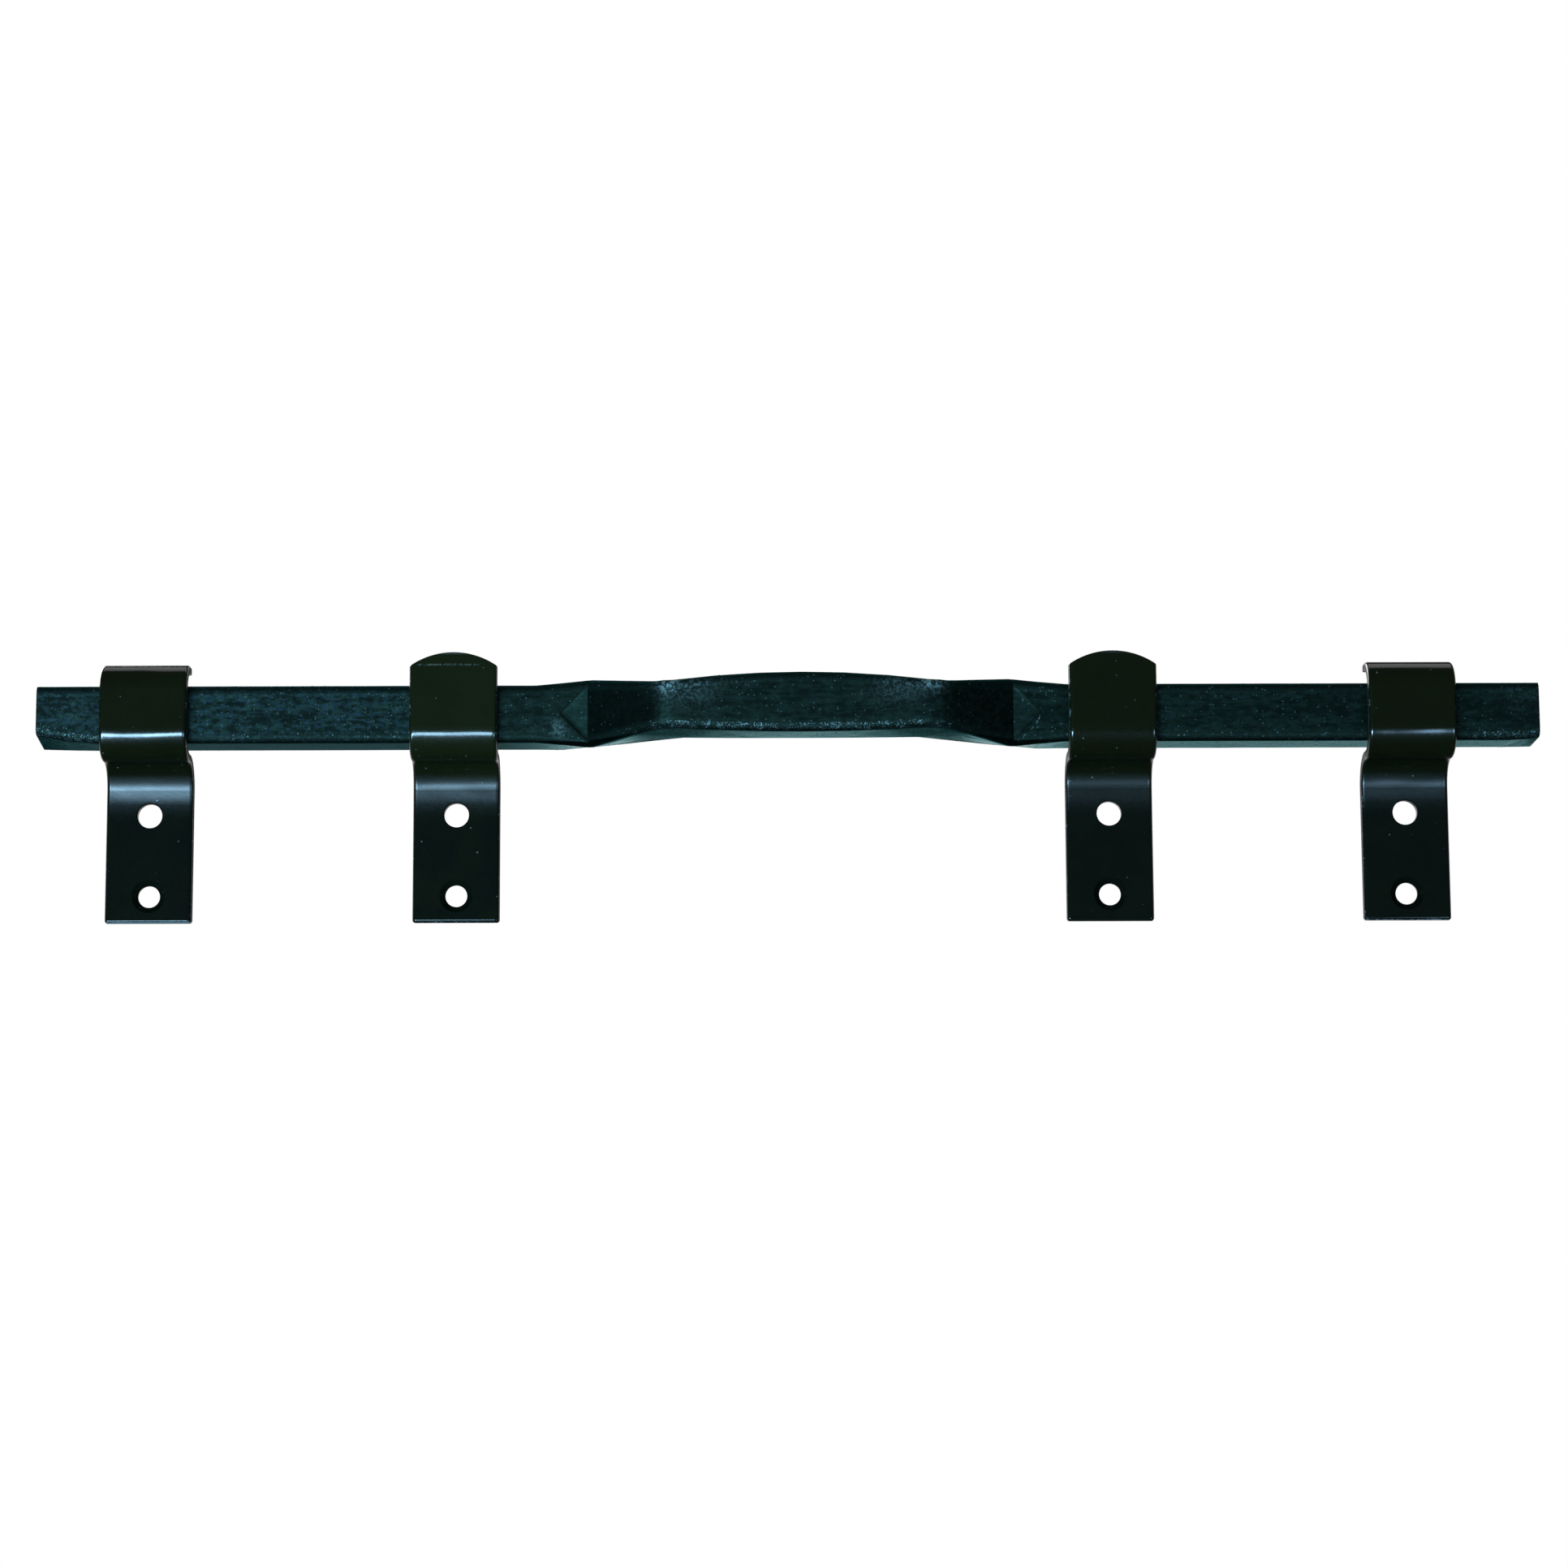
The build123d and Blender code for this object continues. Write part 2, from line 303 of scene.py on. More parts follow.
# The lamps, aimed at the bar: name, place, width, height, watts, colour and spread in degrees
LAMPS_AIM = (0, -0.02, 0.02)
LAMPS = (
    ("low_left_lamp", (-0.53, -0.94, -0.34), 0.85, 0.20, 5.8, (0.41, 0.73, 1.0), 75),
    ("low_right_lamp", (0.60, -0.90, -0.33), 0.45, 0.20, 0.95, (0.40, 0.70, 1.0), 75),
    ("top_lamp", (0, 0.5, 1.4), 1.6, 0.8, 3.5, (1, 1, 1), 180),
    ("back_lamp", (-0.7, 1.3, 0.6), 0.9, 0.6, 4, (1, 1, 1), 120),
)


# Settings that a user would change


def colour_setting(name, description, default):
    return FloatVectorProperty(
        name=name, description=description, default=default, subtype="COLOR", min=0, max=1
    )


def share_setting(name, description, default):
    return FloatProperty(
        name=name, description=description, default=default, subtype="FACTOR", min=0, max=1
    )


def length_setting(name, description, default, **limits):
    return FloatProperty(
        name=name, description=description, default=default, subtype="DISTANCE", unit="LENGTH", **limits
    )


def angle_setting(name, description, default):
    return FloatProperty(
        name=name, description=description, default=default, subtype="ANGLE", unit="ROTATION"
    )


class BarFinish(bpy.types.PropertyGroup):
    coat: colour_setting("Coat", "Colour of the blue-black coat in its hollows", (0.0058, 0.0098, 0.0066))
    bloom: colour_setting(
        "Bloom", "Colour of the coat where it lies thin over the mill scale", (0.0270, 0.0570, 0.0560)
    )
    bare: colour_setting(
        "Bare steel", "Colour of the steel where the coat is rubbed away", (0.22, 0.32, 0.32)
    )
    wear: share_setting("Wear", "How far the coat is rubbed away on edges, bends and folds", 0.6)
    waviness: length_setting(
        "Waviness",
        "How far the tube's walls stand off from flat",
        0.10 * MM,
        min=0,
        max=1 * MM,
        precision=5,
    )
    grains: IntProperty(
        name="Scale grains",
        description="Grains of mill scale that stand up under the coat, for each square centimetre",
        default=4,
        min=0,
        max=40,
    )


class StrapFinish(bpy.types.PropertyGroup):
    front: colour_setting("Front", "Colour of the coat round the bar", (0.0054, 0.0082, 0.0021))
    tail: colour_setting("Tail", "Colour of the coat on the tail", (0.0011, 0.0028, 0.0019))
    bare: colour_setting(
        "Bare steel", "Colour of the steel where the coat is chipped away", (0.30, 0.38, 0.38)
    )
    wear: share_setting("Wear", "How far the coat is chipped away on the edges", 0.35)


class StageSettings(bpy.types.PropertyGroup):
    distance: length_setting("Camera distance", "From the camera to the front of the bar", 1.32, min=0.2)
    view_width: length_setting(
        "View width", "Width of what the camera sees at the front of the bar", 0.535, min=0.05
    )
    look_up: angle_setting("Look up", "How far the camera looks up from level", radians(8.5))
    roll: angle_setting("Roll", "How far the camera is turned about its line of sight", radians(-0.16))
    off_middle: length_setting(
        "Off the middle", "How far the camera stands to the left of the bar's middle", 0.018
    )
    floor_depth: length_setting(
        "Floor depth", "From the shutters' upper screw holes down to the floor", 0.42, min=0.05
    )
    room: FloatProperty(
        name="Room light",
        description="Brightness of the room that the coats reflect",
        default=0.05,
        min=0,
    )
    fill: FloatProperty(
        name="Fill light",
        description="Even light from all round on the matt surfaces",
        default=0.2,
        min=0,
    )


class SecurityBarSettings(bpy.types.PropertyGroup):
    bar: PointerProperty(type=BarFinish)
    straps: PointerProperty(type=StrapFinish)
    stage: PointerProperty(type=StageSettings)


# Shader building


def feed(tree, target, value):
    """Links a socket to an input, or sets the input to a plain value."""
    if isinstance(value, bpy.types.NodeSocket):
        tree.links.new(value, target)
    else:
        target.default_value = value


def fed_node(tree, kind, **inputs):
    """A new node whose inputs, named with _ for a space, are fed by sockets or plain values."""
    node = tree.nodes.new(kind)
    for label, value in inputs.items():
        feed(tree, node.inputs[label.replace("_", " ")], value)
    return node


def math_node(tree, operation, *values, clamp=False):
    """A Math node fed by sockets or numbers, and its output."""
    node = tree.nodes.new("ShaderNodeMath")
    node.operation = operation
    node.use_clamp = clamp
    for slot, value in enumerate(values):
        feed(tree, node.inputs[slot], value)
    return node.outputs[0]


def times(tree, first, second):
    return math_node(tree, "MULTIPLY", first, second)


def less(tree, first, second):
    return math_node(tree, "SUBTRACT", first, second)


def larger(tree, first, second):
    return math_node(tree, "MAXIMUM", first, second)


def off_from(tree, value, place):
    """How far a value lies from a place, on either side."""
    return math_node(tree, "ABSOLUTE", less(tree, value, place))


def between(tree, share, first, second):
    """The first value where share is 0, the second where it is 1, and in proportion between."""
    return math_node(tree, "MULTIPLY_ADD", less(tree, second, first), share, first)


def weighted_sum(tree, values, shares):
    total = times(tree, values[0], shares[0])
    for value, share in zip(values[1:], shares[1:]):
        total = math_node(tree, "MULTIPLY_ADD", value, share, total)
    return total


def mix_colour(tree, share, first, second):
    """A colour between two colours, each a socket or a plain colour."""
    node = fed_node(tree, "ShaderNodeMix", Factor=share)
    node.data_type = "RGBA"
    for name, value in (("A", first), ("B", second)):
        target = [s for s in node.inputs if s.name == name and s.type == "RGBA"][0]
        feed(tree, target, value if isinstance(value, bpy.types.NodeSocket) else (*value, 1))
    return [s for s in node.outputs if s.type == "RGBA"][0]


def ramp(tree, value, low, high, to_low=0.0, to_high=1.0, smooth=True):
    """value taken from low..high to to_low..to_high and held there."""
    levels = {"From_Min": low, "From_Max": high, "To_Min": to_low, "To_Max": to_high}
    node = fed_node(tree, "ShaderNodeMapRange", Value=value, **levels)
    node.interpolation_type = "SMOOTHSTEP" if smooth else "LINEAR"
    return node.outputs["Result"]


def noise_value(tree, place, scale, detail, roughness):
    node = fed_node(
        tree, "ShaderNodeTexNoise", Vector=place, Scale=scale, Detail=detail, Roughness=roughness
    )
    return node.outputs["Fac"]


def coordinates(tree, place):
    """The X, Y and Z of a place."""
    return fed_node(tree, "ShaderNodeSeparateXYZ", Vector=place).outputs


def painted_value(tree, name):
    attribute = tree.nodes.new("ShaderNodeAttribute")
    attribute.attribute_name = name
    return attribute.outputs["Fac"]


def bumped(tree, height, distance, strength, **over):
    """The normal that a height gives a surface, or gives the Normal that is passed on."""
    node = fed_node(tree, "ShaderNodeBump", Height=height, Distance=distance, Strength=strength, **over)
    return node.outputs["Normal"]


def new_group(name, kind, inputs, outputs):
    """An empty node group, what it is given and what it makes. An input is (name, kind, default)."""
    tree = bpy.data.node_groups.new(name, kind)
    for label, socket, default in inputs:
        made = tree.interface.new_socket(label, in_out="INPUT", socket_type="NodeSocket" + socket)
        if default is not None:
            made.default_value = default
    for label, socket in outputs:
        tree.interface.new_socket(label, in_out="OUTPUT", socket_type="NodeSocket" + socket)
    return tree, tree.nodes.new("NodeGroupInput").outputs, tree.nodes.new("NodeGroupOutput").inputs


def mottle_group():
    """Clouds and grain of a thin coat over mill scale."""
    tree, given, made = new_group(
        "coat_mottle",
        "ShaderNodeTree",
        (("Vector", "Vector", None), ("Cloud Scale", "Float", 90.0), ("Grain Scale", "Float", 1400.0)),
        (("Cloud", "Float"), ("Grain", "Float"), ("Height", "Float")),
    )
    coarse_to_fine = 0.3
    cloud = noise_value(tree, given["Vector"], given["Cloud Scale"], *CLOUDY_NOISE)
    grain = noise_value(tree, given["Vector"], given["Grain Scale"], *GRAINY_NOISE)
    coarse_scale = times(tree, given["Grain Scale"], coarse_to_fine)
    coarse = noise_value(tree, given["Vector"], coarse_scale, *PLAIN_NOISE)
    tree.links.new(ramp(tree, cloud, *CLOUD_CONTRAST), made["Cloud"])
    tree.links.new(ramp(tree, grain, *GRAIN_CONTRAST), made["Grain"])
    tree.links.new(weighted_sum(tree, (grain, coarse), HEIGHT_SHARES), made["Height"])
    return tree


def speck_group():
    """Small separate specks, sparse and of uneven size."""
    tree, given, made = new_group(
        "specks",
        "ShaderNodeTree",
        (("Vector", "Vector", None), ("Scale", "Float", 900.0), ("Share", "Float", 0.1)),
        (("Mask", "Float"),),
    )
    smallest, largest, soft_edge = 0.12, 0.42, 0.12
    cells = fed_node(tree, "ShaderNodeTexVoronoi", Vector=given["Vector"], Scale=given["Scale"])
    pick, size, _ = fed_node(tree, "ShaderNodeSeparateColor", Color=cells.outputs["Color"]).outputs
    chosen = math_node(tree, "LESS_THAN", pick, given["Share"])
    reach = ramp(tree, size, 0, 1, smallest, largest, smooth=False)
    disc = ramp(tree, less(tree, reach, cells.outputs["Distance"]), 0.0, soft_edge)
    tree.links.new(times(tree, chosen, disc), made["Mask"])
    return tree


def wear_group():
    """Breaks a smooth closeness-to-an-edge mask into the ragged patches that rubbing leaves."""
    tree, given, made = new_group(
        "rubbed_wear",
        "ShaderNodeTree",
        (
            ("Vector", "Vector", None),
            ("Near", "Float", 0.0),
            ("Amount", "Float", 0.5),
            ("Grain Scale", "Float", 1600.0),
        ),
        (("Mask", "Float"),),
    )
    broad_to_fine = 0.2
    closed_at, opened_by_wear, soft_edge = 0.72, 0.5, 0.12
    near_enough = (0.02, 0.25)
    fine = noise_value(tree, given["Vector"], given["Grain Scale"], *RAGGED_NOISE)
    broad_scale = times(tree, given["Grain Scale"], broad_to_fine)
    broad = noise_value(tree, given["Vector"], broad_scale, *PLAIN_NOISE)
    ragged = weighted_sum(tree, (fine, broad), RAGGED_SHARES)
    reach = times(tree, given["Near"], given["Amount"])
    open_at = less(tree, closed_at, times(tree, reach, opened_by_wear))
    mask = ramp(tree, less(tree, ragged, open_at), 0.0, soft_edge)
    some = ramp(tree, given["Near"], *near_enough)
    tree.links.new(times(tree, mask, some), made["Mask"])
    return tree


GROUP_MAKERS = {"coat_mottle": mottle_group, "specks": speck_group, "rubbed_wear": wear_group}


def placed_group(tree, name, **values):
    """A shared node group, placed in a material with its own values, and its outputs."""
    node = tree.nodes.new("ShaderNodeGroup")
    node.node_tree = bpy.data.node_groups.get(name) or GROUP_MAKERS[name]()
    for label, value in values.items():
        feed(tree, node.inputs[label.replace("_", " ")], value)
    return node.outputs


def new_material(name):
    material = bpy.data.materials.new(name)
    material.use_nodes = True
    tree = material.node_tree
    return material, tree, tree.nodes["Principled BSDF"].inputs


def drawn_lines(tree, place, squeezed, scale):
    """Bands or smears along the bar, as the drawing of the tube leaves them."""
    squeeze = fed_node(tree, "ShaderNodeMapping", Vector=place, Scale=(squeezed, 1.0, 1.0))
    band = noise_value(tree, squeeze.outputs["Vector"], scale, *CLOUDY_NOISE)
    return ramp(tree, band, *LINE_CONTRAST)


def on_left_slope(tree, along):
    """1 on the slope from the left crease to the grip and 0 elsewhere."""
    from_grip = off_from(tree, along, GRIP_MIDDLE)
    on_slope = less(tree, ramp(tree, from_grip, *SLOPE_STARTS), ramp(tree, from_grip, *SLOPE_ENDS))
    return times(tree, on_slope, ramp(tree, along, *MIDDLE_STRETCH, 1.0, 0.0))


def bloom_cover(tree, place, along, mottle, flat, dent):
    """How much of the coat's bloom shows: in bands, smears, clouds and grain, more inside the dents as
    painted sheen, and less on the left slope and on the bar's right part as painted shade.
    """
    patterns = (
        drawn_lines(tree, place, *LONG_BANDS),
        drawn_lines(tree, place, *SHORT_SMEARS),
        mottle["Cloud"],
        mottle["Grain"],
    )
    cover = ramp(tree, weighted_sum(tree, patterns, BLOOM_SHARES), *BLOOM_FROM_TO)
    # Painted sheen: the dents' facets are made lighter, the left one most
    dent_sheen = ramp(tree, along, *MIDDLE_STRETCH, LEFT_DENT_SHEEN, RIGHT_DENT_SHEEN)
    cover = math_node(tree, "ADD", cover, ramp(tree, dent, *DENT_SHEEN_FROM_TO, 0.0, dent_sheen))
    # Painted shade: the left slope's coat is made darker
    slope_shade = math_node(tree, "MULTIPLY_ADD", on_left_slope(tree, along), -LEFT_SLOPE_SHADE, 1.0)
    cover = times(tree, cover, slope_shade)
    # Painted shade: less bloom on the bar's right part, so the coat is darker there
    cover = times(tree, cover, ramp(tree, along, *PAINTED_SHADE_STRETCH, 1.0, PAINTED_SHADE_BLOOM))
    towards_corners = math_node(tree, "MULTIPLY_ADD", flat, 1 - CORNER_BLOOM, CORNER_BLOOM)
    return math_node(tree, "MULTIPLY", cover, towards_corners, clamp=True)


def bloom_colour(tree, place, along, colour):
    """The bloom changes finely between two hues, and less so on the bar's right part, which painted shade
    darkens.
    """
    hue = ramp(tree, noise_value(tree, place, HUE_SCALE, *PLAIN_NOISE), *HUE_CONTRAST)
    # Painted shade also weakens the change of hue on the bar's right part
    hue = times(tree, hue, ramp(tree, along, *PAINTED_SHADE_STRETCH, 1.0, PAINTED_SHADE_HUE))
    green, blue = ([c * k for c, k in zip(colour, hues)] for hues in (GREEN_BLOOM, BLUE_BLOOM))
    return mix_colour(tree, hue, green, blue)


def bar_roughness(tree, along, high, grain, flat):
    """Rougher on the tube's corners than on its flats, and smoothest under its right part."""
    flat_rough = ramp(tree, grain, 0, 1, *FLAT_ROUGHNESS, smooth=False)
    rough = between(tree, flat, CORNER_ROUGHNESS, flat_rough)
    under = ramp(tree, along, *UNDERSIDE_STRETCH, *UNDERSIDE_ROUGHNESS)
    return between(tree, ramp(tree, high, *UNDERSIDE_HEIGHT), rough, under)


def bar_material(finish):
    """Blue-black coat over mill scale, rubbed through on edges and folds and polished by hands, with painted
    sheen on the grip's bends and in the dents, and painted shade on the left slope and the right part.
    """
    material, tree, shader = new_material("bar_coat")
    place = tree.nodes.new("ShaderNodeTexCoord").outputs["Object"]
    along, _, high = coordinates(tree, place)
    mottle = placed_group(tree, "coat_mottle", Vector=place, **BAR_MOTTLE)
    specks = placed_group(tree, "specks", Vector=place, **BAR_SPECKS)
    near = painted_value(tree, "rubbed")
    wear = placed_group(
        tree, "rubbed_wear", Vector=place, Near=near, Amount=finish.wear, Grain_Scale=BAR_WEAR_SCALE
    )
    flat = ramp(tree, painted_value(tree, "middle"), *FLAT_FROM_TO)
    dent = painted_value(tree, "dented")
    cover = bloom_cover(tree, place, along, mottle, flat, dent)
    colour = mix_colour(tree, cover, finish.coat, bloom_colour(tree, place, along, finish.bloom))
    # Painted shadow: a dark line along each dent's rim
    rim_shadow = ramp(tree, math_node(tree, "ABSOLUTE", dent), *DENT_RIM_SHADOW_FROM_TO, 0.0, DENT_RIM_SHADOW)
    colour = mix_colour(tree, rim_shadow, colour, finish.coat)
    # Polish, and painted sheen where the grip's bends catch the light
    polish_and_sheen = ramp(tree, mottle["Grain"], *POLISH_AND_SHEEN_FROM_TO, *POLISH_AND_SHEEN_SHARES)
    polish_and_sheen = times(tree, painted_value(tree, "polish_and_sheen"), polish_and_sheen)
    bare = larger(tree, times(tree, wear["Mask"], RUBBED_SHARE), polish_and_sheen)
    bare = larger(tree, bare, times(tree, specks["Mask"], SPECK_SHARE))
    colour = mix_colour(tree, bare, colour, finish.bare)
    tree.links.new(colour, shader["Base Color"])
    tree.links.new(bar_roughness(tree, along, high, mottle["Grain"], flat), shader["Roughness"])
    shader["Metallic"].default_value = FILM_METALLIC
    shader["Specular Tint"].default_value = FILM_TINT
    tree.links.new(bumped(tree, mottle["Height"], BAR_BUMP, BAR_BUMP_STRENGTH), shader["Normal"])
    return material


def by_height(tree, high, tail, bent, front):
    """One level on a strap's tail, one where the tail bends away from the shutter and one above."""
    below = ramp(tree, high, *BEND_FADES_IN, tail, bent)
    above = ramp(tree, high, *BEND_FADES_OUT)
    return between(tree, above, below, front)


def painted_tip_highlight(tree, along, high, middle, grain):
    """A painted highlight line across a tongue, along a faint press line where its tip bends slightly."""
    left, right = (
        ramp(tree, along, *(middle + place for place in places)) for places in (TIP_HIGHLIGHT_LEFT, TIP_HIGHLIGHT_RIGHT)
    )
    line = ramp(tree, off_from(tree, high, TIP_HIGHLIGHT_HEIGHT), *TIP_HIGHLIGHT_FADES)
    highlight_mask = times(tree, times(tree, left, right), line)
    return times(tree, highlight_mask, times(tree, grain, TIP_HIGHLIGHT_SHARE))


def strap_roughness(tree, high, off_middle, half_width, low, seat, top, grain):
    """Glossy on the tail and front, duller at the bends and the foot, and dull where the shear cut."""
    rough = by_height(tree, high, *TAIL_BEND_FRONT_ROUGHNESS)
    rough = larger(tree, rough, times(tree, seat, SEAT_ROUGHNESS))
    rough = math_node(tree, "MULTIPLY_ADD", grain, GRAIN_ROUGHNESS, rough)
    rough = larger(tree, rough, times(tree, low, FOOT_ROUGHNESS))
    cut_side = ramp(tree, off_middle, *(half_width - depth for depth in CUT_SIDE))
    cut_top = ramp(tree, high, *(top - depth for depth in CUT_TOP))
    for cut in (cut_side, cut_top):
        rough = larger(tree, rough, times(tree, cut, CUT_ROUGHNESS))
    return rough


def strap_normal(tree, place, high, off_middle, half_width, bend_rise, seat, height):
    """Rounded sides, a soft and uneven start of the tail bend, and the uneven surface of the coat."""
    past = larger(tree, less(tree, off_middle, half_width - EDGE_ROUND), 0.0)
    fall = times(tree, times(tree, past, past), -EDGE_TURN / (2 * EDGE_ROUND))
    uneven = noise_value(tree, place, LEAN_SCALE, *SMOOTH_NOISE)
    uneven = ramp(tree, uneven, *LEAN_CONTRAST, *LEAN_SHARES)
    lean = ramp(tree, high, *BEND_LEANS, 0.0, bend_rise)
    formed = bumped(tree, math_node(tree, "MULTIPLY_ADD", lean, uneven, fall), 1.0, 1.0)
    peel = larger(tree, by_height(tree, high, *TAIL_BEND_FRONT_PEEL), times(tree, seat, SEAT_PEEL))
    return bumped(tree, height, PEEL, peel, Normal=formed)


def strap_material(name, look, finish):
    """Smooth black coat on flat steel, olive round the bar and blue-black on the tail."""
    shade, bend_rise, foot_wear = look
    lowest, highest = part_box(name)
    middle = (lowest.x + highest.x) / 2
    half_width = (highest.x - lowest.x) / 2
    material, tree, shader = new_material(name + "_coat")
    place = tree.nodes.new("ShaderNodeTexCoord").outputs["Object"]
    along, _, high = coordinates(tree, place)
    mottle = placed_group(tree, "coat_mottle", Vector=place, **STRAP_MOTTLE)
    specks = placed_group(tree, "specks", Vector=place, **STRAP_SPECKS)
    off_middle = off_from(tree, along, middle)
    side = ramp(tree, off_middle, *(half_width - depth for depth in CHIPPED_SIDE))
    low = ramp(tree, high, *(lowest.z + height for height in CHIPPED_FOOT))
    seat = math_node(tree, "MINIMUM", ramp(tree, high, *SEAT_ENDS), ramp(tree, high, *SEAT_STARTS))
    near = larger(tree, side, times(tree, low, foot_wear))
    wear = placed_group(
        tree, "rubbed_wear", Vector=place, Near=near, Amount=finish.wear, Grain_Scale=STRAP_WEAR_SCALE
    )
    front = [c * shade for c in finish.front]
    colour = mix_colour(tree, ramp(tree, high, *FRONT_COLOUR), finish.tail, front)
    clouds = times(tree, mottle["Cloud"], CLOUD_SHARE)
    colour = mix_colour(tree, clouds, colour, [c * CLOUD_LIGHTER for c in front])
    bare = times(tree, larger(tree, wear["Mask"], specks["Mask"]), CHIPPED_SHARE)
    # Painted highlight: a faint light line across the left tongue where its tip bends
    if name == TIP_HIGHLIGHT_STRAP:
        bare = larger(tree, bare, painted_tip_highlight(tree, along, high, middle, mottle["Grain"]))
    colour = mix_colour(tree, bare, colour, finish.bare)
    rough = strap_roughness(tree, high, off_middle, half_width, low, seat, highest.z, mottle["Grain"])
    normal = strap_normal(tree, place, high, off_middle, half_width, bend_rise, seat, mottle["Height"])
    tree.links.new(colour, shader["Base Color"])
    tree.links.new(rough, shader["Roughness"])
    tree.links.new(bare, shader["Metallic"])
    tree.links.new(normal, shader["Normal"])
    return material


# The bar's skin


def plan_corners():
    """The bar's centre line in plan: its ends and the corners of its four bends, from left to right."""
    lowest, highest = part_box(BAR)
    back_line = highest.y - TUBE_SIZE / 2
    grip_line = back_line - GRIP_RISE
    half_mitre = TUBE_SIZE / 2 * tan(TURN / 2)
    crease = CREASE_SPAN / 2 - half_mitre
    grip = GRIP_SPAN / 2 - half_mitre
    return [
        Vector((lowest.x + END_INSET, back_line)),
        Vector((GRIP_MIDDLE - crease, back_line)),
        Vector((GRIP_MIDDLE - grip, grip_line)),
        Vector((GRIP_MIDDLE + grip, grip_line)),
        Vector((GRIP_MIDDLE + crease, back_line)),
        Vector((highest.x - END_INSET, back_line)),
    ]


def towards_room(heading):
    return Vector((sin(heading), -cos(heading)))


def places_along(length):
    """Distances along a run of the bar, closer together near its ends, where the bends are."""
    places = []
    place = 0.0
    while place < length - FOLD_STEP / 2:
        places.append(place)
        near_end = min(place, length - place) < FOLD_REACH
        place += FOLD_STEP if near_end else LONG_STEP
    return places + [length]


def bar_sections():
    """Sections along the bar, as (centre, heading) in plan. They fan about the folded side of each bend."""
    corners = plan_corners()
    stand_off = TUBE_SIZE / 2 + PIVOT_STAND_OFF
    cut_back = stand_off * tan(TURN / 2)
    last_run = len(HEADINGS) - 1
    sections = []
    for run, heading in enumerate(HEADINGS):
        along = Vector((cos(heading), sin(heading)))
        first = corners[run] + along * (cut_back if run else 0)
        last = corners[run + 1] - along * (cut_back if run < last_run else 0)
        for place in places_along((last - first).length):
            sections.append((first + along * place, heading))
        if run == last_run:
            break
        stand = towards_room(heading) * FOLDED_SIDES[run] * stand_off
        pivot = last + stand
        for step in range(1, BEND_STATIONS):
            turned = heading + (HEADINGS[run + 1] - heading) * step / BEND_STATIONS
            centre = pivot - towards_room(turned) * FOLDED_SIDES[run] * stand_off
            sections.append((centre, turned))
    return sections


def tube_outline():
    """Points round a plain section, as (towards the room, up, nearness to a corner)."""
    half = TUBE_SIZE / 2
    flat = half - CORNER_RADIUS
    side = []
    for i in range(FLAT_POINTS):
        up = flat * (2 * i / FLAT_POINTS - 1)
        side.append((half, up, exp(-(flat - abs(up)) / EDGE_FADE)))
    for i in range(CORNER_POINTS):
        angle = pi / 2 * i / CORNER_POINTS
        side.append((flat + CORNER_RADIUS * cos(angle), flat + CORNER_RADIUS * sin(angle), 1.0))
    outline = list(side)
    for _ in range(3):
        side = [(-up, out, near) for out, up, near in side]
        outline += side
    return outline


def section_heights(tree, centre, heading):
    """The heights of the tube's underside and top on its back and front quarter lines."""
    heights = []
    middle = TUBE_FOOT + TUBE_SIZE / 2
    for quarter_line in (-TUBE_SIZE / 4, TUBE_SIZE / 4):
        place = centre + towards_room(heading) * quarter_line
        below = tree.ray_cast(Vector((*place, middle - REACH_OUT)), Vector((0, 0, 1)))[0]
        above = tree.ray_cast(Vector((*place, middle + REACH_OUT)), Vector((0, 0, -1)))[0]
        heights.append((below.z, above.z))
    return heights


def felt_ring(tree, centre, heading, outline, inside):
    """The points where rays in the section's plane meet the tube's outer wall, or its inner one."""
    front = towards_room(heading)
    (back_low, back_high), (front_low, front_high) = section_heights(tree, centre, heading)
    middle = Vector((*centre, (back_low + back_high + front_low + front_high) / 4))
    ring = []
    for out, up, _ in outline:
        share = out / (TUBE_SIZE / 2) + 0.5
        low = back_low + (front_low - back_low) * share
        high = back_high + (front_high - back_high) * share
        height = low + (high - low) * (up / TUBE_SIZE + 0.5)
        aim = Vector((*(centre + front * out), height))
        ray = (aim - middle).normalized()
        start = middle if inside else middle + ray * REACH_OUT
        met = tree.ray_cast(start, ray if inside else -ray)[0]
        ring.append(met if met is not None else aim)
    return ring


def patches_at(patches, along, up):
    """How strongly the strongest of some soft-edged patches covers a place on the room side."""
    strongest = 0.0
    for x, z, reach_x, reach_z, lean, strength in patches:
        beside = along - x * MM
        over = up - z * MM - lean * beside
        fade = (beside / (reach_x * MM)) ** 2 + (over / (reach_z * MM)) ** 2
        strongest = max(strongest, strength * exp(-fade))
    return strongest


def rubbed_at(place, near_corner, on_front, lowest, highest):
    """How far straps and shutters have rubbed the coat through at a place on the outside of the bar."""
    up = place.z - TUBE_FOOT
    from_end = min(place.x - lowest.x, highest.x - place.x)
    on_grip = abs(place.x - GRIP_MIDDLE) < GRIP_SPAN / 2 + PAST_GRIP
    handled = HANDLED_CORNER if on_grip or from_end < WORN_END else PLAIN_CORNER
    corner = near_corner * (handled if up < TUBE_SIZE / 2 else UPPER_CORNER)
    rubbed = max(corner * (1.0 if on_front else HIDDEN_SIDE), CUT_END * exp(-from_end / END_FADE))
    return max(rubbed, patches_at(RUBBED_PATCHES, place.x, up)) if on_front else rubbed


def dent_at(place):
    """How far inside the dent of a crease a place on the room side lies: 1 at its root, 0 at its rim."""
    beyond = abs(place.x - GRIP_MIDDLE) - CREASE_SPAN / 2
    if beyond < 0:
        return -1.0
    off_middle = abs(place.z - TUBE_FOOT - TUBE_SIZE / 2)
    return max(-1.0, 1 - beyond / DENT_REACH - off_middle / (TUBE_SIZE / 2))


